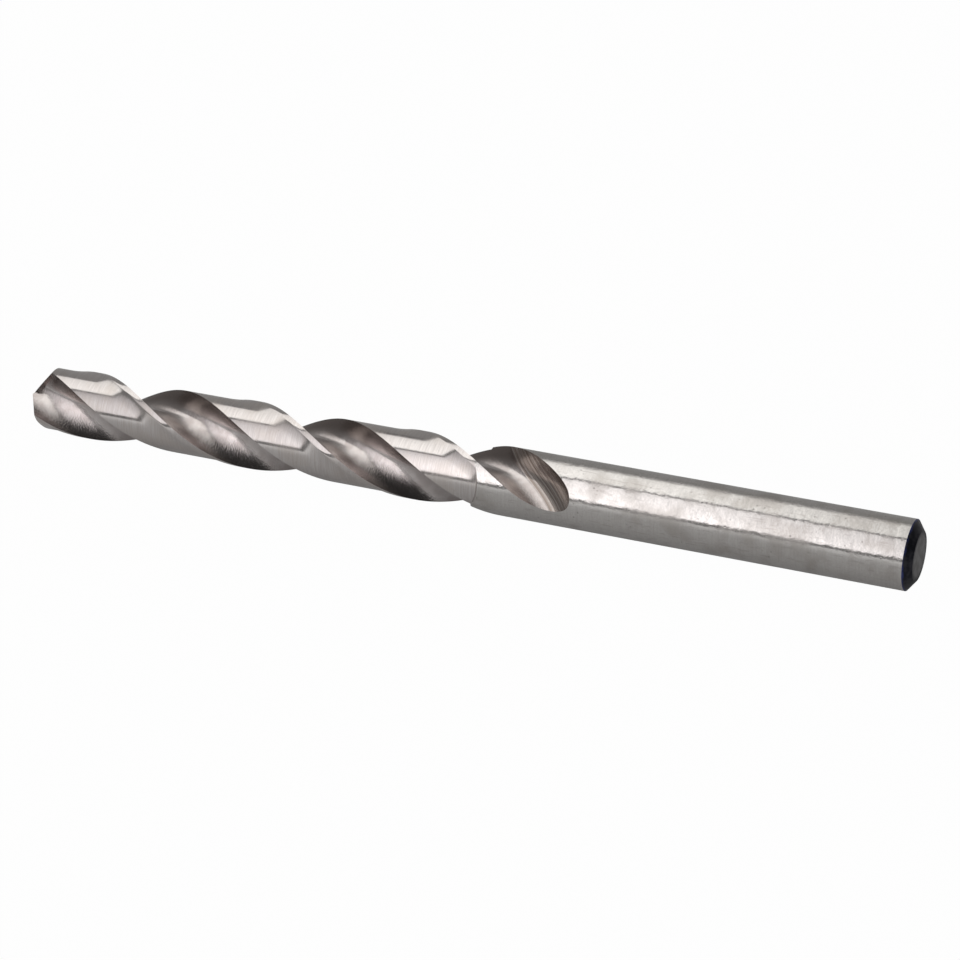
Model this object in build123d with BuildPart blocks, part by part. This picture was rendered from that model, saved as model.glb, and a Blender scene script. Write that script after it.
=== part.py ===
from build123d import *
import os
from math import acos, asin, atan2, cos, degrees, radians, sin, sqrt, tan

# A right-hand jobber twist drill lying on its side along X.
# The point looks towards -X, the shank's end face stands on the plane x = 0, +Z is up.
# The drill is one piece of steel: point, two flutes, two lands with their margins, and a plain shank.

# Driving dimensions, in millimetres and degrees.
drill_diameter = 8.5
overall_length = 117.0
flute_length = 75.5
clearance_length = 63.5
lead_length = 44.8         # length of one full turn of the flutes
point_angle = 118.0
web_at_point = 1.36
web_taper = 0.016          # growth of the web's thickness per millimetre of length
lip_direction = 19.0       # the upper lip's heading about the axis, up from +Y
heel_lag = 53.4            # from a lip's heading round to the heel of its own land

# Margins and body clearance of the lands.
margin_angle = 8.6
clearance_depth = 0.30
clearance_ramp_angle = 26.0
clearance_end_tilt = 42.5  # lean of the clearance's end, which comes out last behind the lip's heading
heel_face_height = 0.40

# Conical grind of the flanks. The cone's apex lies on the lip's own line, behind the chisel edge.
grind_apex_setback = 1.756
grind_axis_tilt = 10.87
grind_axis_swing = 19.64

# Run-out of the flutes, where the grinding wheel lifts clear.
runout_length = 8.0
runout_drift = 0.50        # sideways travel towards the heel for each millimetre of lift

# Shank, a hair thinner than the point because of the body's back taper.
shank_diameter = 8.47
end_face_diameter = 6.0
end_chamfer_length = 0.92

# Derived sizes.
drill_radius = drill_diameter / 2
shank_radius = shank_diameter / 2
turn_per_mm = 360.0 / lead_length
half_point = radians(point_angle / 2)
lip_slope = 1 / tan(half_point)
clearance_radius = drill_radius - clearance_depth
half_web_at_point = web_at_point / 2

# Round stock stands on the plane that it is placed on.
from_base = (Align.CENTER, Align.CENTER, Align.MIN)

# The tool sections reach past the steel by these amounts.
outer_reach = 1.5 * drill_radius
crown_reach = 1.02 * outer_reach
lead_in = 3.0
runout_overrun = 0.6
clearance_skin = 0.02
heel_overlap_angle = 12.0
end_overrun = 0.5

# Distances between the sections of the lofts, and the points along the flute's face in each section.
section_spacing = 3.2
clearance_spacing = 3.0
runout_spacing = 1.1
face_points = 6
face_crowding = 1.2

# The ramp behind each margin: its depth half way down, and how far past the middle that lies.
ramp_middle_depth = 0.76 * clearance_depth
ramp_middle_lag = 1.0


def half_web(station):
    """Half of the web's thickness at a distance from the nominal tip of the 118 degree cone."""
    return half_web_at_point + web_taper / 2 * max(station, 0)


def polar(radius, angle):
    return (radius * cos(radians(angle)), radius * sin(radians(angle)))


def shifted(point, shift):
    return (point[0] + shift[0], point[1] + shift[1])


def lip_heading(station):
    """Heading of the upper flute face's straight lip line, carried along the helix."""
    return lip_direction + turn_per_mm * station


def leading_edge(station):
    """Angle of the upper land's leading edge. It falls back a little as the web grows thicker."""
    web = half_web(station)
    run = sqrt(drill_radius**2 - web**2)
    return lip_heading(station) - degrees(asin(web / drill_radius)) - turn_per_mm * run * lip_slope


# Height of the chisel edge's middle above the nominal tip, from the grinding cone.
tilt = radians(grind_axis_tilt)
swing = radians(-grind_axis_swing)
cone_axis = (sin(tilt) * cos(swing), sin(tilt) * sin(swing), cos(tilt))
lip_line = (sin(half_point), 0.0, cos(half_point))
cone_half_angle = acos(sum(p * q for p, q in zip(cone_axis, lip_line)))
cone_apex = (-grind_apex_setback, -half_web_at_point, -grind_apex_setback * lip_slope)


def cone_height_on_axis():
    """Station where the grinding cone crosses the drill's axis."""
    ax, ay, az = cone_apex
    nx, ny, nz = cone_axis
    squared = cos(cone_half_angle) ** 2
    across = -ax * nx - ay * ny
    a = nz**2 - squared
    b = 2 * across * nz
    c = across**2 - squared * (ax**2 + ay**2)
    return az + (-b + sqrt(b**2 - 4 * a * c)) / (2 * a)


chisel_station = cone_height_on_axis()
tip_x = -overall_length - chisel_station
shank_front_x = -overall_length + flute_length
clearance_end = clearance_length + chisel_station
runout_start = flute_length + chisel_station - runout_length
runout_end = runout_start + runout_length + runout_overrun


def face_curve(station):
    """Points of the flute's face, which meets the 118 degree cone in a straight lip."""
    web = half_web(station)
    heading = lip_heading(station) + 180
    points = []
    for step in range(face_points + 1):
        run = outer_reach * (step / face_points) ** face_crowding
        radius = sqrt(web**2 + run**2)
        angle = heading - degrees(atan2(web, run)) - turn_per_mm * run * lip_slope
        points.append(polar(radius, angle))
    return points, heading


def runout_shift(station):
    """How far the flute's section has moved outwards and sideways in the run-out."""
    travel = station - runout_start
    if travel <= 0:
        return 0.0, 0.0
    depth = drill_radius - half_web(flute_length)
    wheel = (runout_length**2 + depth**2) / (2 * depth)
    lift = wheel - sqrt(wheel**2 - min(travel, wheel) ** 2)
    return lift, runout_drift * lift


def flute_section(station):
    """Transverse section of the grinding tool in the lower flute."""
    points, heading = face_curve(station)
    lift, drift = runout_shift(station)
    outward = polar(lift, heading - 90)
    sideways = polar(drift, heading - 180)
    shift = (outward[0] + sideways[0], outward[1] + sideways[1])
    face = [shifted(point, shift) for point in points]
    heel_angle = lip_heading(station) + heel_lag
    heel = shifted(polar(clearance_radius - heel_face_height, heel_angle), shift)
    heel_out = shifted(polar(outer_reach, heel_angle), shift)
    crown = shifted(polar(crown_reach, (heel_angle + heading) / 2 - 30), shift)
    with BuildSketch(Plane.YZ.offset(tip_x + station)) as section:
        with BuildLine():
            Spline(*face)
            Spline(face[0], heel, tangents=(polar(1, heading + 180), polar(1, heel_angle)))
            Line(heel, heel_out)
            ThreePointArc(heel_out, crown, face[-1])
        make_face()
    return section.sketch


def clearance_section(station):
    """Transverse section of the body clearance behind the upper land's margin."""
    start = leading_edge(station) + margin_angle
    floor_start = start + clearance_ramp_angle
    stop = lip_heading(station) + heel_lag + heel_overlap_angle
    middle = (start + floor_start) / 2 + ramp_middle_lag
    with BuildSketch(Plane.YZ.offset(tip_x + station)) as section:
        with BuildLine():
            outer = polar(outer_reach, start)
            top = polar(drill_radius + clearance_skin, start)
            hollow = polar(drill_radius - ramp_middle_depth, middle)
            floor = polar(clearance_radius, floor_start)
            floor_middle = polar(clearance_radius, (floor_start + stop) / 2)
            floor_end = polar(clearance_radius, stop)
            outer_end = polar(outer_reach, stop)
            Line(outer, top)
            ThreePointArc(top, hollow, floor)
            ThreePointArc(floor, floor_middle, floor_end)
            Line(floor_end, outer_end)
            ThreePointArc(outer_end, polar(outer_reach, (start + stop) / 2), outer)
        make_face()
    return section.sketch


def blank_plane(x):
    """Cross plane for a length of round stock, with the stock's seam along the drill's top."""
    return Plane(origin=(x, 0, 0), x_dir=(0, 0, 1), z_dir=(1, 0, 0))


def stations(first, last, spacing):
    count = round((last - first) / spacing)
    return [first + (last - first) * step / count for step in range(count + 1)]


flute_stations = stations(-lead_in, runout_start, section_spacing)
flute_stations += stations(runout_start, runout_end, runout_spacing)[1:]
clearance_stations = stations(-lead_in, clearance_end + end_overrun, clearance_spacing)

with BuildPart() as flute_tool:
    loft([flute_section(station) for station in flute_stations])

# The clearance ends on a leaning plane, as the wheel lifts out of the steel.
end_heading = lip_heading(clearance_end)
end_slope = tan(radians(clearance_end_tilt))
lean = (1, -end_slope * cos(radians(end_heading)), -end_slope * sin(radians(end_heading)))
end_plane = Plane(origin=(tip_x + clearance_end - end_slope * drill_radius, 0, 0), z_dir=lean)

with BuildPart() as clearance_tool:
    loft([clearance_section(station) for station in clearance_stations])
    split(bisect_by=end_plane, keep=Keep.BOTTOM)

# The grinding cone as a solid, its apex at the origin and its axis along +Z.
cone_length = overall_length + 4 * drill_diameter
with BuildPart() as grind_cone:
    Cone(0, cone_length * tan(cone_half_angle), cone_length, align=from_base)

# The tip's own frame: local X along the lip's heading, local Z back along the drill.
lip_x = (0, cos(radians(lip_direction)), sin(radians(lip_direction)))
tip_frame = Plane(origin=(tip_x, 0, 0), x_dir=lip_x, z_dir=(1, 0, 0))
cone_origin = tip_frame.from_local_coords(cone_apex)
cone_tail = tip_frame.from_local_coords(tuple(p + q for p, q in zip(cone_apex, cone_axis)))
flank = Plane(origin=cone_origin, z_dir=cone_tail - cone_origin)

with BuildPart() as drill:
    # The blank: the body's very slight back taper, the shank, and the chamfered end.
    with Locations(blank_plane(tip_x - lead_in)):
        Cone(drill_radius, shank_radius, shank_front_x - tip_x + lead_in, align=from_base)
    with Locations(blank_plane(shank_front_x)):
        Cylinder(shank_radius, -end_chamfer_length - shank_front_x, align=from_base)
    with Locations(blank_plane(-end_chamfer_length)):
        Cone(shank_radius, end_face_diameter / 2, end_chamfer_length, align=from_base)

    # Both flanks of the point, ground as parts of two cones.
    upper_cone = flank.location * grind_cone.part
    add(upper_cone, mode=Mode.INTERSECT)
    add(upper_cone.rotate(Axis.X, 180), mode=Mode.INTERSECT)

    # Body clearance behind both margins.
    add(clearance_tool.part, mode=Mode.SUBTRACT)
    add(clearance_tool.part.rotate(Axis.X, 180), mode=Mode.SUBTRACT)

    # Both flutes.
    add(flute_tool.part, mode=Mode.SUBTRACT)
    add(flute_tool.part.rotate(Axis.X, 180), mode=Mode.SUBTRACT)

os.makedirs("parts", exist_ok=True)
drill.part.label = "twist_drill"
export_step(drill.part, "parts/twist_drill.step")
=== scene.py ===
from math import asin, atan2, cos, degrees, pi, radians, sin, sqrt, tan

import bmesh
import bpy
from mathutils import Matrix, Vector


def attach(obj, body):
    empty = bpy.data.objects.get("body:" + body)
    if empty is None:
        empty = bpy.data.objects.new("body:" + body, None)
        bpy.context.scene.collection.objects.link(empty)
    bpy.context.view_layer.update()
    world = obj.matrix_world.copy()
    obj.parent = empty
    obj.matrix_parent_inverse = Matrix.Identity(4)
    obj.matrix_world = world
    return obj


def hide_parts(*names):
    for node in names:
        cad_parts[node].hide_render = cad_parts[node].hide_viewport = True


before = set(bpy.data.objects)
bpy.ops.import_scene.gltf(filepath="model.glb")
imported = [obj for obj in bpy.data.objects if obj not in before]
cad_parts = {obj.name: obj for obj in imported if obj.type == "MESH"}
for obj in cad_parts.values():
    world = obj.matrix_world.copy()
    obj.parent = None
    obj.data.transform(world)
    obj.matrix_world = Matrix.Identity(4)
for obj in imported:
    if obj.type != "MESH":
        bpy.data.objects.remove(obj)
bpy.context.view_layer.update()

# A right-hand jobber twist drill on its side along X, its point towards -X and its end face on x = 0.
# Its steel is made of sheets of quads, with columns round the drill and rows along it. They follow the curves
# of the tools that ground it. One half is made first, and the other is the same, half a turn round.
# A station is a distance back from the nominal tip of the point's 118 degree cone.

# ---------------------------------------------------------------- sizes of the drill, millimetres and degrees
DRILL_RADIUS = 4.25
SHANK_RADIUS = 4.235
LENGTH = 117.0
FLUTE_LENGTH = 75.5
CLEARANCE_LENGTH = 63.5
LEAD_LENGTH = 44.8          # length of one full turn of the flutes
POINT_ANGLE = 118.0
HALF_WEB_AT_POINT = 0.68
WEB_TAPER = 0.016           # growth of the web's thickness per millimetre of length
LIP_DIRECTION = 19.0        # the upper lip's heading about the axis, up from +Y
HEEL_LAG = 53.4             # from a lip's heading round to the heel of its own land
HEEL_FACE_HEIGHT = 0.40
TAPER_LEAD_IN = 3.0         # the body's back taper starts this far ahead of the tip
END_FACE_RADIUS = 3.0
CHAMFER_LENGTH = 0.92

# Margins and body clearance of the lands. The clearance ends on a leaning plane.
MARGIN_ANGLE = 8.6
CLEARANCE_DEPTH = 0.30
CLEARANCE_SKIN = 0.02
RAMP_ANGLE = 26.0
RAMP_MIDDLE_DEPTH = 0.76 * CLEARANCE_DEPTH
RAMP_MIDDLE_LAG = 1.0
CLEARANCE_END_TILT = 42.5
CLIMB_REACH = 12.0          # the leaning end lies within this length of the clearance's end

# Run-out of the flutes, where the grinding wheel lifts clear.
RUNOUT_LENGTH = 8.0
RUNOUT_DRIFT = 0.50         # sideways travel towards the heel for each millimetre of lift

# Each flank is part of a cone, whose apex lies on the lip's own line, behind the chisel edge.
GRIND_APEX_SETBACK = 1.756
GRIND_AXIS_TILT = 10.87
GRIND_AXIS_SWING = 19.64

TURN_PER_MM = 360.0 / LEAD_LENGTH
HALF_POINT = radians(POINT_ANGLE / 2)
LIP_SLOPE = 1 / tan(HALF_POINT)
CLEARANCE_RADIUS = DRILL_RADIUS - CLEARANCE_DEPTH
CLEARANCE_END_SLOPE = tan(radians(CLEARANCE_END_TILT))
HEEL_CORNER_RADIUS = CLEARANCE_RADIUS - HEEL_FACE_HEIGHT

# The cone in the tip's own frame, whose axes run along the lip's heading, a quarter turn on from it, and back
# along the drill.
TILT, SWING = radians(GRIND_AXIS_TILT), radians(-GRIND_AXIS_SWING)
CONE_AXIS = Vector((sin(TILT) * cos(SWING), sin(TILT) * sin(SWING), cos(TILT)))
CONE_APEX = Vector((-GRIND_APEX_SETBACK, -HALF_WEB_AT_POINT, -GRIND_APEX_SETBACK * LIP_SLOPE))
CONE_COS2 = CONE_AXIS.dot(Vector((sin(HALF_POINT), 0, cos(HALF_POINT)))) ** 2

# How far the flute's curve is drawn past the steel, up the heel's wall and out along the face.
HEEL_WALL_REACH = 1.6
FACE_REACH = 5.6

# How finely the curve and the sheets are divided.
WALL_POINTS, BACK_POINTS, FACE_POINTS = 8, 48, 64
MARGIN_COLUMNS, RAMP_COLUMNS, FLOOR_COLUMNS = 5, 14, 22
LAND_COLUMNS = MARGIN_COLUMNS + RAMP_COLUMNS + FLOOR_COLUMNS
HEEL_COLUMNS, FACE_COLUMNS = 28, 32
FLUTE_COLUMNS = HEEL_COLUMNS + FACE_COLUMNS
BODY_ROWS, CLIMB_ROWS, MIDDLE_ROWS, RUNOUT_ROWS = 250, 6, 16, 64
FLANK_ROWS, SHANK_ROWS, CHAMFER_ROWS, END_ROWS = 20, 60, 6, 12
RUNOUT_GATHER = 2.0         # how strongly the run-out's rows draw together towards its end

# Where the places that are found by halving are looked for.
FLANK_STATIONS = (-2.0, 6.0)
CHISEL_SHARES = (0.05, 0.95)
CHISEL_SEARCH = 0.3
RUNOUT_OVERRUN = 3.0

# How many steps the halving takes, and how many it takes to settle on the leaning end.
HALVINGS = 48
SETTLING_STEPS = 40

MERGE_DISTANCE = 0.0006     # corners nearer than this are one
SLIVER_LENGTH = 0.0002      # edges shorter than this are dropped
SHARP_ANGLE = radians(14)   # an edge that turns by more than this is sharp
MM = 0.001                  # a millimetre in the scene's metres


def flank_height(u, v):
    """Distance back from the nominal tip of the flank cone over a point of the cross plane."""
    across = (u - CONE_APEX.x) * CONE_AXIS.x + (v - CONE_APEX.y) * CONE_AXIS.y
    a = CONE_AXIS.z**2 - CONE_COS2
    b = 2 * across * CONE_AXIS.z
    c = across**2 - CONE_COS2 * ((u - CONE_APEX.x) ** 2 + (v - CONE_APEX.y) ** 2)
    return CONE_APEX.z + (-b + sqrt(b**2 - 4 * a * c)) / (2 * a)


CHISEL_STATION = flank_height(0, 0)
TIP_X = -LENGTH - CHISEL_STATION
CLEARANCE_END = CLEARANCE_LENGTH + CHISEL_STATION
RUNOUT_START = FLUTE_LENGTH + CHISEL_STATION - RUNOUT_LENGTH
BODY_LENGTH = FLUTE_LENGTH + CHISEL_STATION


def polar(radius, angle):
    return Vector((radius * cos(radians(angle)), radius * sin(radians(angle))))


def heading_of(p):
    return degrees(atan2(p.y, p.x))


def in_tip_frame(p, sense=1):
    """A point of the cross plane turned into the tip's own frame, or back out of it where sense is -1."""
    turn = -sense * radians(LIP_DIRECTION)
    return p.x * cos(turn) - p.y * sin(turn), p.x * sin(turn) + p.y * cos(turn)


def turning_point(low, high, holds):
    """The last value for which a test still holds. It holds at the low end and fails at the high end."""
    for _ in range(HALVINGS):
        middle = (low + high) / 2
        if holds(middle):
            low = middle
        else:
            high = middle
    return low


def half_web(s):
    """Half of the web's thickness at a station."""
    return HALF_WEB_AT_POINT + WEB_TAPER / 2 * max(s, 0)


def body_radius(s):
    """Radius over the margins, with the body's slight back taper."""
    share = (s + TAPER_LEAD_IN) / (BODY_LENGTH + TAPER_LEAD_IN)
    return DRILL_RADIUS + (SHANK_RADIUS - DRILL_RADIUS) * min(max(share, 0), 1)


def lip_heading(s):
    """Heading of the upper lip's line, carried along the helix."""
    return LIP_DIRECTION + TURN_PER_MM * s


def leading_edge(s):
    """Heading of the upper land's leading edge. It falls back a little as the web grows thicker."""
    web = half_web(s)
    run = sqrt(DRILL_RADIUS**2 - web**2)
    return lip_heading(s) - degrees(asin(web / DRILL_RADIUS)) - TURN_PER_MM * run * LIP_SLOPE


def face_point(s, run):
    """Point of the lower flute's face, at a distance out along its lip's line."""
    web = half_web(s)
    heading = lip_heading(s) + 180
    angle = heading - degrees(atan2(web, run)) - TURN_PER_MM * run * LIP_SLOPE
    return polar(sqrt(web**2 + run**2), angle)


def runout_shift(s):
    """Travel of the flute's section, outwards and sideways, as the wheel lifts clear."""
    travel = s - RUNOUT_START
    if travel <= 0:
        return Vector((0, 0))
    depth = DRILL_RADIUS - half_web(FLUTE_LENGTH)
    wheel = (RUNOUT_LENGTH**2 + depth**2) / (2 * depth)
    lift = wheel - sqrt(wheel**2 - min(travel, wheel) ** 2)
    heading = lip_heading(s) + 180
    return polar(lift, heading - 90) + polar(RUNOUT_DRIFT * lift, heading - 180)


def across_flute(s, p):
    """Distance across the flute in the wheel's own frame, in millimetres.

    It is 0 where the face meets the rounded back, positive out along the face and negative towards the heel.
    """
    return (p - runout_shift(s)).dot(polar(1, lip_heading(s) + 180))


def smooth_curve(start, leaving, end, arriving, t):
    """Point of the cubic curve between two points with the given tangents, at t from 0 to 1."""
    return (
        (2 * t**3 - 3 * t**2 + 1) * start + (t**3 - 2 * t**2 + t) * leaving
        + (3 * t**2 - 2 * t**3) * end + (t**3 - t**2) * arriving
    )


def flute_curve(s):
    """Closely spaced points of the lower flute, from the heel's wall in to the web and out along the face."""
    heading = lip_heading(s) + 180
    heel_angle = lip_heading(s) + HEEL_LAG
    web_point = face_point(s, 0)
    heel = polar(HEEL_CORNER_RADIUS, heel_angle)
    chord = (heel - web_point).length
    leaving, arriving = polar(chord, heading + 180), polar(chord, heel_angle)
    points = []
    for k in range(WALL_POINTS, 0, -1):
        points.append(polar(HEEL_CORNER_RADIUS + HEEL_WALL_REACH * k / WALL_POINTS, heel_angle))
    for k in range(BACK_POINTS, 0, -1):
        points.append(smooth_curve(web_point, leaving, heel, arriving, k / BACK_POINTS))
    for k in range(FACE_POINTS + 1):
        points.append(face_point(s, FACE_REACH * k / FACE_POINTS))
    shift = runout_shift(s)
    return [p + shift for p in points]


def crossing(inside, outside, radius):
    """Where the straight step between two points meets a circle about the axis."""
    d = outside - inside
    a, b, c = d.dot(d), 2 * inside.dot(d), inside.dot(inside) - radius**2
    return inside + d * ((-b + sqrt(max(b * b - 4 * a * c, 0))) / (2 * a))


def flute_span(s, heel_radius, face_radius):
    """The part of the flute's curve that lies inside the steel, heel end first."""
    points = flute_curve(s)
    deepest = min(range(len(points)), key=lambda k: points[k].length)
    if points[deepest].length >= face_radius:
        return None
    first = deepest
    while first > 0 and points[first].length < heel_radius:
        first -= 1
    last = deepest
    while last < len(points) - 1 and points[last].length < face_radius:
        last += 1
    span = points[first + 1 : last]
    start = crossing(points[first + 1], points[first], heel_radius)
    end = crossing(points[last - 1], points[last], face_radius)
    return [start] + span + [end]


def along(points, share):
    """Point at a share of a line's own length."""
    steps = [(q - p).length for p, q in zip(points, points[1:])]
    goal = share * sum(steps)
    for p, q, step in zip(points, points[1:], steps):
        if goal <= step:
            return p.lerp(q, goal / step if step else 0)
        goal -= step
    return points[-1].copy()


def arc_through(a, b, c, share):
    """Point at a share of the circular arc from a over b to c."""
    d = 2 * (a.x * (b.y - c.y) + b.x * (c.y - a.y) + c.x * (a.y - b.y))
    ux = (a.dot(a) * (b.y - c.y) + b.dot(b) * (c.y - a.y) + c.dot(c) * (a.y - b.y)) / d
    uy = (a.dot(a) * (c.x - b.x) + b.dot(b) * (a.x - c.x) + c.dot(c) * (b.x - a.x)) / d
    centre = Vector((ux, uy))
    start, stop = (atan2(p.y - uy, p.x - ux) for p in (a, c))
    turn = (stop - start + pi) % (2 * pi) - pi
    angle = start + turn * share
    return centre + (a - centre).length * Vector((cos(angle), sin(angle)))


# ---------------------------------------------------------------- tracks along one half of the drill
def relieved_land(s, column):
    """Margin, ramp and clearance floor of the upper land, leading edge first."""
    if column == 0:
        return -face_end(s)
    lead = leading_edge(s)
    if column <= MARGIN_COLUMNS:
        return polar(body_radius(s), lead + MARGIN_ANGLE * column / MARGIN_COLUMNS)
    if column < MARGIN_COLUMNS + RAMP_COLUMNS:
        top = polar(DRILL_RADIUS + CLEARANCE_SKIN, lead + MARGIN_ANGLE)
        middle = lead + MARGIN_ANGLE + RAMP_ANGLE / 2 + RAMP_MIDDLE_LAG
        hollow = polar(DRILL_RADIUS - RAMP_MIDDLE_DEPTH, middle)
        foot = polar(CLEARANCE_RADIUS, lead + MARGIN_ANGLE + RAMP_ANGLE)
        return arc_through(top, hollow, foot, (column - MARGIN_COLUMNS) / RAMP_COLUMNS)
    share = (column - MARGIN_COLUMNS - RAMP_COLUMNS) / FLOOR_COLUMNS
    first = lead + MARGIN_ANGLE + RAMP_ANGLE
    return polar(CLEARANCE_RADIUS, first + (lip_heading(s) + HEEL_LAG - first) * share)


def face_end(s):
    """Leading edge of the lower land."""
    web = half_web(s)
    return face_point(s, sqrt(body_radius(s) ** 2 - web**2))


def to_flank(point_at):
    """Station at which a track that runs along the drill comes out through the point's flanks."""

    def in_front(s):
        u, v = in_tip_frame(point_at(s))
        return s < max(flank_height(u, v), flank_height(-u, -v))

    return turning_point(*FLANK_STATIONS, in_front)


END_HEADING = lip_heading(CLEARANCE_END)


def leaning_end(radius, angle):
    """Station of the leaning plane on which the clearance ends."""
    reach = radius * cos(radians(angle - END_HEADING))
    return CLEARANCE_END - CLEARANCE_END_SLOPE * (DRILL_RADIUS - reach)


def clearance_stop(column):
    """Station at which a column of the relieved land runs into the leaning end."""
    s = CLEARANCE_END
    for _ in range(SETTLING_STEPS):
        p = relieved_land(s, column)
        s = leaning_end(p.length, heading_of(p))
    return s


def heel_radius(s):
    """Radius of the heel's corner: the clearance floor, then up the leaning end to full size."""
    if s < CLEARANCE_END - CLIMB_REACH:
        return CLEARANCE_RADIUS
    if s >= CLEARANCE_END:
        return body_radius(s)
    lean = cos(radians(lip_heading(s) + HEEL_LAG - END_HEADING))
    climb = (DRILL_RADIUS - (CLEARANCE_END - s) / CLEARANCE_END_SLOPE) / lean
    return min(max(climb, CLEARANCE_RADIUS), body_radius(s))


spans = {}


def span_at(s):
    """The flute's span at a station, kept for the next time that it is asked for."""
    key = round(s, 7)
    if key not in spans:
        spans[key] = flute_span(s, heel_radius(s), body_radius(s))
    return spans[key]


def flute_track(share):
    """The track that keeps to one share of the flute's width, heel first."""
    return lambda s: along(span_at(s), share)


def governed_by_upper(share):
    """Whether the upper flank, and not the lower one, ends this track of the lower flute."""
    s = to_flank(flute_track(share))
    u, v = in_tip_frame(flute_track(share)(s))
    return flank_height(-u, -v) <= flank_height(u, v)


CHISEL_SHARE = turning_point(*CHISEL_SHARES, governed_by_upper)


def flute_share(column):
    if column <= HEEL_COLUMNS:
        return CHISEL_SHARE * column / HEEL_COLUMNS
    return CHISEL_SHARE + (1 - CHISEL_SHARE) * (column - HEEL_COLUMNS) / FACE_COLUMNS


# ---------------------------------------------------------------- building the steel
LAND, FLUTE, FLANK, SHANK, CHAMFER, END_FACE = range(6)


def grid(bm, columns, rows, place, material):
    """Adds a sheet of quads, columns round the drill by rows along it, and moves each corner to its place.

    Its map holds the distance across the flute, or elsewhere the share of the sheet's width, and the station.
    """
    made = bmesh.ops.create_grid(bm, x_segments=columns, y_segments=rows, size=1.0)["verts"]
    faces = {f for v in made for f in v.link_faces}
    share = {}
    for v in made:
        column = round((v.co.x + 1) / 2 * columns)
        row = round((v.co.y + 1) / 2 * rows)
        x, p = place(column, row)
        v.co = Vector((x, p.x, p.y))
        share[v] = across_flute(x - TIP_X, p) if material == FLUTE else column / columns
    surface_map = bm.loops.layers.uv.verify()
    for f in faces:
        f.material_index = material
        for corner in f.loops:
            corner[surface_map].uv = (share[corner.vert], corner.vert.co.x - TIP_X)


def spaced(first, last, rows, row, gather=1.0):
    """Station of a row, the rows drawing together towards the last one where gather is over 1."""
    return last - (last - first) * (1 - row / rows) ** gather


def still_cut(s):
    """Whether the flute still cuts into the steel at a station of its run-out."""
    return flute_span(s, body_radius(s), body_radius(s)) is not None


RUNOUT_END = turning_point(RUNOUT_START, RUNOUT_START + RUNOUT_LENGTH + RUNOUT_OVERRUN, still_cut)

land_start = [to_flank(lambda s, c=c: relieved_land(s, c)) for c in range(LAND_COLUMNS + 1)]
land_stop = [clearance_stop(c) for c in range(LAND_COLUMNS + 1)]
flute_start = [to_flank(flute_track(flute_share(c))) for c in range(FLUTE_COLUMNS + 1)]


def climb_point(column, share):
    """Point on the leaning end, from the relieved land up to full size, carried round with the helix."""
    foot = relieved_land(land_stop[column], column)
    turn = heading_of(foot)
    s = land_stop[column]
    for _ in range(SETTLING_STEPS):
        radius = foot.length + (body_radius(s) - foot.length) * share
        angle = turn + TURN_PER_MM * (s - land_stop[column])
        s = leaning_end(radius, angle)
    return s, polar(radius, angle)


def stations_across_flute(at_heel):
    """Stations of a row of the flute's sheet, from the heel to the leading edge where the clearance stops."""
    return [at_heel + (land_stop[0] - at_heel) * c / FLUTE_COLUMNS for c in range(FLUTE_COLUMNS + 1)]


land_top = [climb_point(c, 1)[0] for c in range(LAND_COLUMNS + 1)]
flute_stop = stations_across_flute(land_stop[-1])
flute_top = stations_across_flute(land_top[-1])


def land_sweep(s):
    """Heading of the full land's leading edge, and the angle from there round to its heel."""
    span = span_at(s)
    start = heading_of(-span[-1])
    return start, (heading_of(span[0]) - start) % 360


def share_of_land(s, p):
    """Where a point lies between the leading edge and the heel, from 0 to 1."""
    start, sweep = land_sweep(s)
    return ((heading_of(p) - start + 90) % 360 - 90) / sweep


def full_land(s, share):
    """Point of the full-round land at a share of its width."""
    start, sweep = land_sweep(s)
    return polar(body_radius(s), start + sweep * share)


top_share = [share_of_land(land_top[c], climb_point(c, 1)[1]) for c in range(LAND_COLUMNS + 1)]
top_share[0], top_share[-1] = 0.0, 1.0


# Each sheet's corners: their place along X, and their point of the cross plane.
def relieved_place(column, row):
    s = spaced(land_start[column], land_stop[column], BODY_ROWS, row)
    return TIP_X + s, relieved_land(s, column)


def climb_place(column, row):
    s, p = climb_point(column, row / CLIMB_ROWS)
    return TIP_X + s, p


def full_place(column, row):
    s = spaced(land_top[column], RUNOUT_START, MIDDLE_ROWS, row)
    share = top_share[column] + (column / LAND_COLUMNS - top_share[column]) * row / MIDDLE_ROWS
    return TIP_X + s, full_land(s, share)


def runout_land_place(column, row):
    s = spaced(RUNOUT_START, RUNOUT_END, RUNOUT_ROWS, row, RUNOUT_GATHER)
    return TIP_X + s, full_land(s, column / LAND_COLUMNS)


def flute_place(column, row):
    s = spaced(flute_start[column], flute_stop[column], BODY_ROWS, row)
    return TIP_X + s, along(span_at(s), flute_share(column))


def climb_flute_place(column, row):
    s = climb_point(LAND_COLUMNS, row / CLIMB_ROWS)[0]
    s += (land_stop[0] - s) * column / FLUTE_COLUMNS
    return TIP_X + s, along(span_at(s), flute_share(column))


def full_flute_place(column, row):
    s = spaced(flute_top[column], RUNOUT_START, MIDDLE_ROWS, row)
    return TIP_X + s, along(span_at(s), flute_share(column))


def runout_flute_place(column, row):
    s = spaced(RUNOUT_START, RUNOUT_END, RUNOUT_ROWS, row, RUNOUT_GATHER)
    return TIP_X + s, along(span_at(s), flute_share(column))


# The flank, from the edge of the steel in to the chisel edge.
edge = [-flute_track(flute_share(c))(flute_start[c]) for c in range(HEEL_COLUMNS, FLUTE_COLUMNS)]
edge += [relieved_land(land_start[c], c) for c in range(LAND_COLUMNS)]
edge += [flute_track(flute_share(c))(flute_start[c]) for c in range(HEEL_COLUMNS + 1)]
edge = [Vector(in_tip_frame(p)) for p in edge]


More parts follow.
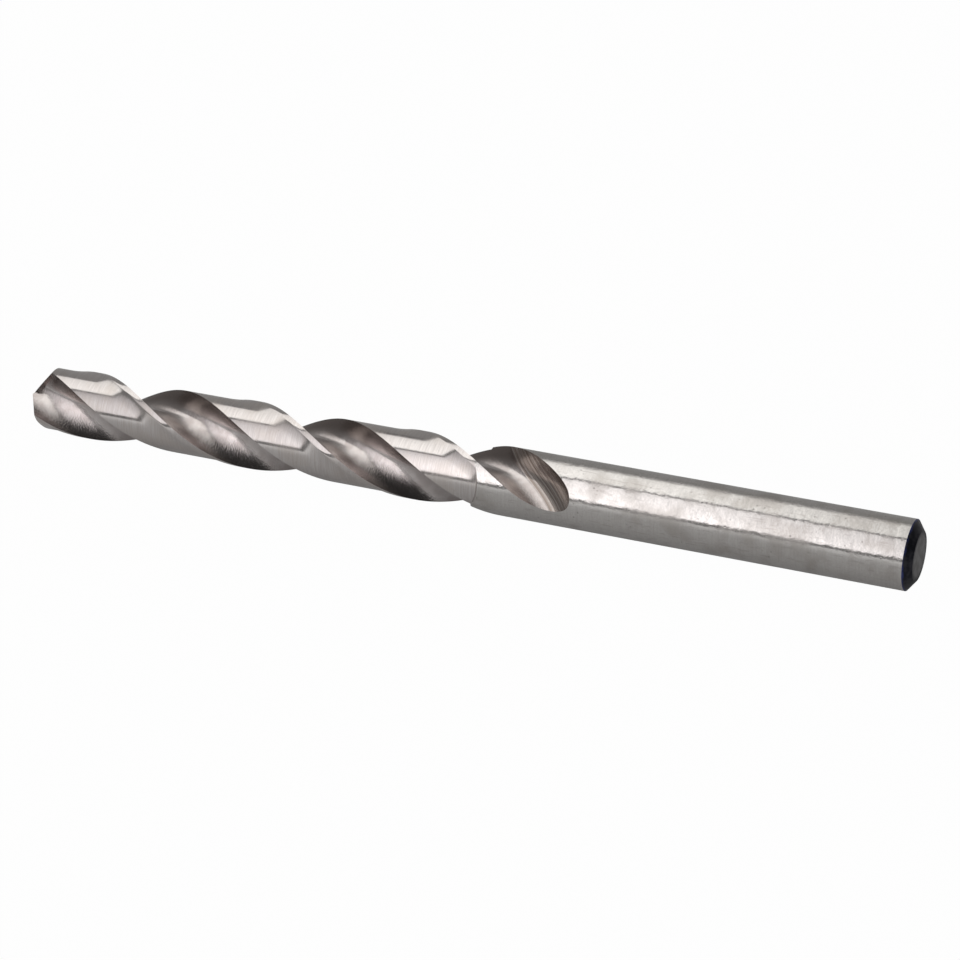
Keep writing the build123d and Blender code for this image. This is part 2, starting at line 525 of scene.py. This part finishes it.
def chisel_point(share):
    """Point of the chisel edge, the line on which both flanks are equally high."""
    line = edge[0].lerp(edge[-1], share)
    side = Vector((edge[0].y, -edge[0].x)).normalized()

    def upper_governs(offset):
        p = line + side * offset
        return flank_height(p.x, p.y) > flank_height(-p.x, -p.y)

    beyond = upper_governs(CHISEL_SEARCH)
    offset = turning_point(-CHISEL_SEARCH, CHISEL_SEARCH, lambda offset: upper_governs(offset) != beyond)
    return line + side * offset


chisel = [chisel_point(k / (len(edge) - 1)) for k in range(len(edge))]
chisel[0], chisel[-1] = edge[0], edge[-1]


def flank_place(column, row):
    p = edge[column].lerp(chisel[column], row / FLANK_ROWS)
    return TIP_X + flank_height(p.x, p.y), Vector(in_tip_frame(p, -1))


# The shank, its chamfer and the end face, half way round.
SHANK_LAST = LENGTH + CHISEL_STATION - CHAMFER_LENGTH


def shank_angle(column):
    return heading_of(full_land(RUNOUT_END, column / LAND_COLUMNS))


def shank_place(column, row):
    s = spaced(RUNOUT_END, SHANK_LAST, SHANK_ROWS, row)
    return TIP_X + s, polar(SHANK_RADIUS, shank_angle(column))


def chamfer_place(column, row):
    share = row / CHAMFER_ROWS
    radius = SHANK_RADIUS + (END_FACE_RADIUS - SHANK_RADIUS) * share
    return -CHAMFER_LENGTH * (1 - share), polar(radius, shank_angle(column))


def end_place(column, row):
    return 0.0, polar(END_FACE_RADIUS * (1 - row / END_ROWS), shank_angle(column))


bm = bmesh.new()
for columns, rows, place, material in (
    (LAND_COLUMNS, BODY_ROWS, relieved_place, LAND),
    (LAND_COLUMNS, CLIMB_ROWS, climb_place, LAND),
    (LAND_COLUMNS, MIDDLE_ROWS, full_place, SHANK),
    (LAND_COLUMNS, RUNOUT_ROWS, runout_land_place, SHANK),
    (FLUTE_COLUMNS, BODY_ROWS, flute_place, FLUTE),
    (FLUTE_COLUMNS, CLIMB_ROWS, climb_flute_place, FLUTE),
    (FLUTE_COLUMNS, MIDDLE_ROWS, full_flute_place, FLUTE),
    (FLUTE_COLUMNS, RUNOUT_ROWS, runout_flute_place, FLUTE),
    (len(edge) - 1, FLANK_ROWS, flank_place, FLANK),
    (LAND_COLUMNS, SHANK_ROWS, shank_place, SHANK),
    (LAND_COLUMNS, CHAMFER_ROWS, chamfer_place, CHAMFER),
    (LAND_COLUMNS, END_ROWS, end_place, END_FACE),
):
    grid(bm, columns, rows, place, material)

# The other half is the same, half a turn round.
other = bmesh.ops.duplicate(bm, geom=bm.verts[:] + bm.edges[:] + bm.faces[:])["geom"]
other_verts = [item for item in other if isinstance(item, bmesh.types.BMVert)]
bmesh.ops.rotate(bm, cent=(0, 0, 0), matrix=Matrix.Rotation(pi, 3, "X"), verts=other_verts)
bmesh.ops.remove_doubles(bm, verts=bm.verts, dist=MERGE_DISTANCE)
bmesh.ops.dissolve_degenerate(bm, edges=bm.edges, dist=SLIVER_LENGTH)
bmesh.ops.recalc_face_normals(bm, faces=bm.faces)
bmesh.ops.scale(bm, vec=(MM, MM, MM), verts=bm.verts)

mesh = bpy.data.meshes.new("twist_drill_steel")
bm.to_mesh(mesh)
bm.free()
for p in mesh.polygons:
    p.use_smooth = True
mesh.set_sharp_from_angle(angle=SHARP_ANGLE)
steel = bpy.data.objects.new("steel", mesh)
bpy.context.scene.collection.objects.link(steel)


# ---------------------------------------------------------------- finishes
class Graph:
    """A node graph in the making. Each step adds a node and hands back its result for the next step."""

    def __init__(self, tree):
        self.nodes = tree.nodes
        self.links = tree.links

    def put(self, value, socket):
        if isinstance(value, bpy.types.NodeSocket):
            self.links.new(value, socket)
        else:
            socket.default_value = value

    def math(self, operation, *values):
        node = self.nodes.new("ShaderNodeMath")
        node.operation = operation
        for value, socket in zip(values, node.inputs):
            self.put(value, socket)
        return node.outputs[0]

    def total(self, *terms):
        """Sum of amounts times values, given in pairs."""
        result = 0.0
        for amount, value in terms:
            result = self.math("MULTIPLY_ADD", value, amount, result)
        return result

    def split(self, vector):
        node = self.nodes.new("ShaderNodeSeparateXYZ")
        self.links.new(vector, node.inputs[0])
        return node.outputs

    def along(self, vector, direction):
        """How far a vector reaches along a direction."""
        node = self.nodes.new("ShaderNodeVectorMath")
        node.operation = "DOT_PRODUCT"
        self.links.new(vector, node.inputs[0])
        node.inputs[1].default_value = direction
        return node.outputs["Value"]

    def between(self, value, low, high, out_low=0.0, out_high=1.0, rise="SMOOTHSTEP"):
        """Goes over from one result to another, smoothly or evenly, while the value goes from low to high."""
        node = self.nodes.new("ShaderNodeMapRange")
        node.interpolation_type = rise
        for number, socket in zip((value, low, high, out_low, out_high), node.inputs):
            self.put(number, socket)
        return node.outputs[0]


class Finish(Graph):
    """A finish of the steel, laid out by places in millimetres and by the sheets' own map."""

    def __init__(self, name):
        self.material = bpy.data.materials.new(name)
        self.material.use_nodes = True
        super().__init__(self.material.node_tree)
        self.shader = self.nodes["Principled BSDF"]
        self.shader.inputs["Metallic"].default_value = 1.0
        place = self.nodes.new("ShaderNodeTexCoord")
        scaled = self.nodes.new("ShaderNodeVectorMath")
        scaled.operation = "SCALE"
        scaled.inputs["Scale"].default_value = 1 / MM
        self.links.new(place.outputs["Object"], scaled.inputs[0])
        self.place = scaled.outputs[0]
        self.map = place.outputs["UV"]

    def stretched(self, vector, factors):
        node = self.nodes.new("ShaderNodeVectorMath")
        node.operation = "MULTIPLY"
        self.links.new(vector, node.inputs[0])
        node.inputs[1].default_value = factors
        return node.outputs[0]

    def noise(self, vector, scale, detail=2.0, wander=0.0):
        node = self.nodes.new("ShaderNodeTexNoise")
        self.links.new(vector, node.inputs["Vector"])
        node.inputs["Scale"].default_value = scale
        node.inputs["Detail"].default_value = detail
        node.inputs["Distortion"].default_value = wander
        return node.outputs["Fac"]

    def spots(self, vector, scale):
        """Distance from scattered points."""
        node = self.nodes.new("ShaderNodeTexVoronoi")
        self.links.new(vector, node.inputs["Vector"])
        node.inputs["Scale"].default_value = scale
        return node.outputs["Distance"]

    def blend(self, share, first, second):
        node = self.nodes.new("ShaderNodeMix")
        node.data_type = "RGBA"
        self.put(share, node.inputs[0])
        self.put((*first, 1) if isinstance(first, tuple) else first, node.inputs[6])
        self.put((*second, 1) if isinstance(second, tuple) else second, node.inputs[7])
        return node.outputs[2]

    def colour(self, value):
        self.put(value, self.shader.inputs["Base Color"])

    def roughness(self, value):
        self.put(value, self.shader.inputs["Roughness"])

    def relief(self, height):
        """Small heights of the surface, in millimetres."""
        node = self.nodes.new("ShaderNodeBump")
        node.inputs["Distance"].default_value = MM
        self.links.new(height, node.inputs["Height"])
        self.links.new(node.outputs[0], self.shader.inputs["Normal"])


# Stretches a pattern into lines round the drill.
ROUND_LINES = (5.0, 0.22, 0.22)

# The wheel's exit mark begins at a crease. These say where the crease lies across the flute at the run-out's
# start, and how far it moves out towards the face for each millimetre along the drill.
CREASE = -0.85
CREASE_DRIFT = 0.73


def drawn_shank():
    """Centreless ground and then handled: fine lines round it, soft waves, small pits and stray scratches."""
    f = Finish("drawn_shank")
    waves = f.noise(f.place, 0.45, 2.5)
    ripple = f.noise(f.place, 1.5, 2.0)
    frosting = f.noise(f.place, 4.5, 2.0)
    lines = f.noise(f.stretched(f.place, ROUND_LINES), 1.6, 3.0)
    pits = f.between(f.spots(f.place, 1.15), 0.05, 0.20, 1.0, 0.0)
    rare = f.between(f.noise(f.place, 0.8, 1.0), 0.50, 0.60)
    pits = f.math("MULTIPLY", pits, rare)
    scratch = f.between(f.noise(f.stretched(f.place, (0.35, 2.6, 2.6)), 1.3, 2.0, 0.6), 0.60, 0.68)
    grime = f.between(f.noise(f.place, 0.30, 4.0), 0.42, 0.66)
    mixed = f.total((0.5, lines), (0.5, frosting))
    clean = f.blend(mixed, (0.49, 0.474, 0.458), (0.77, 0.748, 0.725))
    worn = f.blend(f.math("MULTIPLY", grime, 0.55), clean, (0.46, 0.43, 0.40))
    marked = f.blend(f.math("MULTIPLY", scratch, 0.25), worn, (0.36, 0.33, 0.31))
    f.colour(f.blend(f.math("MULTIPLY", pits, 0.5), marked, (0.25, 0.23, 0.22)))
    f.roughness(f.total((0.10, grime), (0.10, lines), (0.09, 1.0)))
    soft = f.total((0.045, waves), (0.018, ripple), (0.0060, frosting), (0.0005, lines))
    f.relief(f.total((1.0, soft), (-0.008, pits), (-0.0008, scratch)))
    return f.material


def ground_land():
    """Bright cylindrical grinding: fine lines round the drill and a faint warm cast."""
    f = Finish("ground_land")
    waves = f.noise(f.place, 0.5, 2.0)
    lines = f.noise(f.stretched(f.place, ROUND_LINES), 1.7, 3.0)
    patches = f.between(f.noise(f.place, 0.35, 3.0), 0.40, 0.65)
    bright = f.blend(f.between(lines, 0.35, 0.68), (0.59, 0.555, 0.54), (0.67, 0.64, 0.625))
    warm = f.blend(f.math("MULTIPLY", patches, 0.35), bright, (0.60, 0.54, 0.49))
    specks = f.between(f.spots(f.place, 1.3), 0.05, 0.17, 1.0, 0.0)
    f.colour(f.blend(f.math("MULTIPLY", specks, 0.25), warm, (0.36, 0.33, 0.31)))
    f.roughness(f.total((0.07, patches), (0.10, lines), (0.08, 1.0)))
    f.relief(f.total((0.008, waves), (0.0011, lines), (-0.0015, specks)))
    return f.material


def ground_flute():
    """Ground deep from the solid: rippled across the flute, darkened towards the heel with painted shade, and
    streaked where the wheel climbed out.
    """
    f = Finish("ground_flute")
    across, along_drill = f.split(f.map)[:2]
    travel = f.math("SUBTRACT", along_drill, RUNOUT_START)
    wheel_mark = f.math("MULTIPLY_ADD", travel, -CREASE_DRIFT, across)
    in_runout = f.between(wheel_mark, CREASE - 0.15, CREASE + 0.10, 1.0, 0.0)
    before = f.math("SUBTRACT", 1.0, in_runout)
    path = f.nodes.new("ShaderNodeCombineXYZ")
    f.put(wheel_mark, path.inputs[0])
    f.put(along_drill, path.inputs[1])
    streaks = f.noise(f.stretched(path.outputs[0], (3.4, 0.025, 1.0)), 1.0, 3.0)
    hairs = f.noise(f.stretched(path.outputs[0], (9.0, 0.03, 1.0)), 1.0, 2.0)
    waves = f.noise(f.place, 0.55, 2.0)
    grain = f.noise(f.stretched(f.map, (0.60, 1.0, 1.0)), 5.6, 1.2, 0.3)
    fine = f.noise(f.stretched(f.map, (1.2, 1.0, 1.0)), 7.5, 1.5, 0.3)
    clean = f.blend(f.between(waves, 0.35, 0.65), (0.52, 0.475, 0.46), (0.62, 0.58, 0.565))
    # Painted shade: the flute's colour darkens towards the heel side of its hollow.
    flute_with_painted_shade = f.blend(f.between(across, -1.9, -0.4), (0.22, 0.190, 0.178), clean)
    striped = f.between(f.total((0.5, streaks), (0.5, hairs)), 0.40, 0.60)
    brown = f.blend(striped, (0.27, 0.225, 0.20), (0.46, 0.42, 0.395))
    f.colour(f.blend(in_runout, flute_with_painted_shade, brown))
    f.roughness(f.total((0.16, fine), (0.14, 1.0)))
    crease = f.math("POWER", 0.05, f.math("ABSOLUTE", f.math("SUBTRACT", wheel_mark, CREASE)))
    rippled = f.total((0.017, grain), (0.009, fine))
    streaked = f.total((0.020, streaks), (0.010, hairs))
    f.relief(f.total((before, rippled), (in_runout, streaked), (0.020, waves), (0.05, crease)))
    return f.material


def ground_flank():
    """The point's conical grind: close lines that run with the grind."""
    f = Finish("ground_flank")
    lines = f.noise(f.stretched(f.map, (0.4, 6.0, 1.0)), 3.0, 3.0, 0.2)
    waves = f.noise(f.place, 0.8, 2.0)
    f.colour(f.blend(f.between(lines, 0.35, 0.65), (0.44, 0.405, 0.39), (0.60, 0.565, 0.55)))
    f.roughness(f.total((0.16, lines), (0.14, 1.0)))
    f.relief(f.total((0.002, lines), (0.006, waves)))
    return f.material


def blued_chamfer():
    """Dark oxide left by the heat of the cut, blue where it thins out towards the shank."""
    f = Finish("blued_chamfer")
    x = f.split(f.place)[0]
    patches = f.noise(f.place, 1.1, 3.0)
    reach = f.math("MULTIPLY_ADD", patches, 0.5, x)
    thin = f.between(reach, -0.72, -0.45, 1.0, 0.0)
    oxide = f.blend(f.between(patches, 0.4, 0.65), (0.022, 0.023, 0.030), (0.055, 0.055, 0.065))
    f.colour(f.blend(thin, oxide, (0.07, 0.09, 0.28)))
    f.roughness(f.total((0.25, patches), (0.22, 1.0)))
    f.relief(f.total((0.010, patches), (0.004, f.noise(f.place, 4.0, 2.0))))
    return f.material


def cropped_end():
    """The sawn and tumbled end: dull grey, with rings and a dark rim."""
    f = Finish("cropped_end")
    y, z = f.split(f.place)[1:]
    radius = f.math("SQRT", f.math("ADD", f.math("MULTIPLY", y, y), f.math("MULTIPLY", z, z)))
    patches = f.noise(f.place, 0.9, 4.0)
    rings = f.math("SINE", f.math("MULTIPLY_ADD", patches, 3.0, f.math("MULTIPLY", radius, 11.0)))
    rim = f.between(f.math("MULTIPLY_ADD", patches, 0.8, radius), 2.7, 3.3)
    grey = f.blend(f.between(patches, 0.35, 0.65), (0.17, 0.165, 0.165), (0.30, 0.295, 0.30))
    f.colour(f.blend(rim, grey, (0.05, 0.05, 0.06)))
    f.roughness(f.total((0.15, patches), (0.36, 1.0)))
    f.relief(f.total((0.0012, rings), (0.012, patches)))
    return f.material


for finish in (ground_land, ground_flute, ground_flank, drawn_shank, blued_chamfer, cropped_end):
    mesh.materials.append(finish())

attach(steel, "root")
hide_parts("twist_drill")

# ---------------------------------------------------------------- floor, light and camera
scene = bpy.context.scene
scene.view_settings.view_transform = "Standard"


def plane(name, middle, across, upward):
    """A flat rectangle about its middle, from half its width and half its height as vectors."""
    bm = bmesh.new()
    bmesh.ops.create_grid(bm, x_segments=1, y_segments=1, size=1.0)
    middle, across, upward = Vector(middle), Vector(across), Vector(upward)
    for v in bm.verts:
        v.co = middle + across * v.co.x + upward * v.co.y
    data = bpy.data.meshes.new(name)
    bm.to_mesh(data)
    bm.free()
    ob = bpy.data.objects.new(name, data)
    scene.collection.objects.link(ob)
    return ob


def bare_material(name):
    """An empty material, its graph, and the socket that takes its surface."""
    material = bpy.data.materials.new(name)
    material.use_nodes = True
    graph = Graph(material.node_tree)
    graph.nodes.clear()
    return material, graph, graph.nodes.new("ShaderNodeOutputMaterial").inputs["Surface"]


# The floor glows white for the camera. Metal shows only a part of that glow, which grows towards the front,
# so that the dim glow near and under the drill is a painted shadow in the metal's reflections.
FLOOR_SEEN_BY_CAMERA = 0.985
FLOOR_SEEN_IN_PAINTED_SHADOW, FLOOR_SEEN_IN_FRONT = 0.12, 0.60
FRONT_Y = -0.06

floor = plane("floor", (-0.06, 0, -DRILL_RADIUS * MM), (3, 0, 0), (0, 3, 0))
paper, graph, surface = bare_material("white_paper")
diffuse = graph.nodes.new("ShaderNodeBsdfDiffuse")
diffuse.inputs["Color"].default_value = (0.50, 0.50, 0.50, 1)
glow = graph.nodes.new("ShaderNodeEmission")
glow.inputs["Color"].default_value = (1, 1, 1, 1)
glow.inputs["Strength"].default_value = 1.0
rays = graph.nodes.new("ShaderNodeLightPath").outputs
y = graph.split(graph.nodes.new("ShaderNodeTexCoord").outputs["Object"])[1]
# Painted shadow: the floor's glow seen in reflections is dimmest under the drill.
seen_by_metal = graph.between(y, 0.0, FRONT_Y, FLOOR_SEEN_IN_PAINTED_SHADOW, FLOOR_SEEN_IN_FRONT, "LINEAR")
seen_by_metal = graph.math("MULTIPLY", rays["Is Glossy Ray"], seen_by_metal)
share = graph.math("MULTIPLY_ADD", rays["Is Camera Ray"], FLOOR_SEEN_BY_CAMERA, seen_by_metal)
mix = graph.nodes.new("ShaderNodeMixShader")
for value, socket in zip((share, diffuse.outputs[0], glow.outputs[0]), mix.inputs):
    graph.put(value, socket)
graph.put(mix.outputs[0], surface)
floor.data.materials.append(paper)


def light_panel(name, colour, low_edge, high_edge, strengths, profile):
    """A lit sheet between two level edges, given as (y, z), from the first x of its profile to the last.

    Its light changes evenly from the strength at one edge to that at the other, times the profile's share at
    each x.
    """
    (y0, z0), (y1, z1) = low_edge, high_edge
    left, right = profile[0][0], profile[-1][0]
    sheet = plane(
        name,
        ((left + right) / 2, (y0 + y1) / 2, (z0 + z1) / 2),
        ((right - left) / 2, 0, 0),
        (0, (y1 - y0) / 2, (z1 - z0) / 2),
    )
    material, graph, surface = bare_material(name)
    x, y, z = graph.split(graph.nodes.new("ShaderNodeTexCoord").outputs["Object"])
    if abs(z1 - z0) > abs(y1 - y0):
        fade = graph.between(z, z0, z1, *strengths, "LINEAR")
    else:
        fade = graph.between(y, y0, y1, *strengths, "LINEAR")
    shares = graph.nodes.new("ShaderNodeValToRGB")
    stops = shares.color_ramp.elements
    while len(stops) < len(profile):
        stops.new(0.5)
    for stop, (place, share) in zip(stops, profile):
        stop.position = (place - left) / (right - left)
        stop.color = (share, share, share, 1)
    graph.put(graph.between(x, left, right, rise="LINEAR"), shares.inputs[0])
    glow = graph.nodes.new("ShaderNodeEmission")
    glow.inputs["Color"].default_value = (*colour, 1)
    graph.put(graph.math("MULTIPLY", fade, shares.outputs["Color"]), glow.inputs["Strength"])
    graph.put(glow.outputs[0], surface)
    sheet.data.materials.append(material)


WARM_WHITE = (1.0, 0.985, 0.965)
ROSE_WHITE = (1.0, 0.970, 0.980)
OVERHEAD_HEIGHT = 0.75
OVERHEAD_BACK, OVERHEAD_FRONT, SPILL_BACK = 0.50, -0.187, 0.82

light_panel(
    "overhead_light",
    WARM_WHITE,
    (OVERHEAD_BACK, OVERHEAD_HEIGHT),
    (OVERHEAD_FRONT, OVERHEAD_HEIGHT),
    (1.25, 1.62),
    ((-0.80, 0.80), (-0.40, 0.92), (-0.29, 1.0), (-0.17, 0.62), (-0.08, 0.50), (-0.02, 0.42), (0.05, 0.0)),
)
light_panel(
    "overhead_light_spill",
    WARM_WHITE,
    (SPILL_BACK, OVERHEAD_HEIGHT),
    (OVERHEAD_BACK, OVERHEAD_HEIGHT),
    (0.25, 0.85),
    ((-0.50, 0.0), (-0.41, 1.0), (-0.25, 0.9), (-0.10, 0.5), (0.05, 0.0)),
)
light_panel(
    "front_light",
    ROSE_WHITE,
    (-0.70, 0.118),
    (-0.262, 0.72),
    (2.40, 1.55),
    (
        (-0.68, 0.28), (-0.50, 0.40), (-0.40, 0.56), (-0.34, 0.58),
        (-0.28, 1.0), (-0.16, 0.58), (-0.04, 0.48), (0.04, 0.0),
    ),
)

# The room is dim: lightest on the left and behind, and darkest above the right-hand side of the camera.
# The camera itself sees it white.
world = bpy.data.worlds.new("studio")
scene.world = world
world.use_nodes = True
graph = Graph(world.node_tree)
view = graph.nodes.new("ShaderNodeTexCoord").outputs["Generated"]
camera_rays = graph.nodes.new("ShaderNodeLightPath").outputs["Is Camera Ray"]
room = graph.between(graph.along(view, (0.51, -0.74, 0.44)), -0.7, 0.5, 0.30, 0.18)
dark_corner = graph.between(graph.along(view, (0.50, -0.56, 0.66)), 0.58, 0.86, 1.0, 0.12)
light = graph.math("MULTIPLY", room, dark_corner)
background = graph.nodes["Background"].inputs
background["Color"].default_value = (1.0, 0.985, 0.975, 1)
graph.put(graph.math("MAXIMUM", light, camera_rays), background["Strength"])

camera_data = bpy.data.cameras.new("camera")
camera_data.lens = 115.49
camera_data.sensor_width = 36.0
camera_data.clip_start = 0.01
camera = bpy.data.objects.new("camera", camera_data)
right = Vector((0.9195, 0.3931, 0.0)).normalized()
forward = Vector((-0.3552, 0.8309, -0.4284)).normalized()
right = (right - forward * right.dot(forward)).normalized()
up = right.cross(forward)
turned = Matrix((right, up, -forward)).transposed().to_4x4()
camera_place = Matrix.Translation((0.07772, -0.31018, 0.15941))
camera.matrix_world = camera_place @ turned
scene.collection.objects.link(camera)
scene.camera = camera
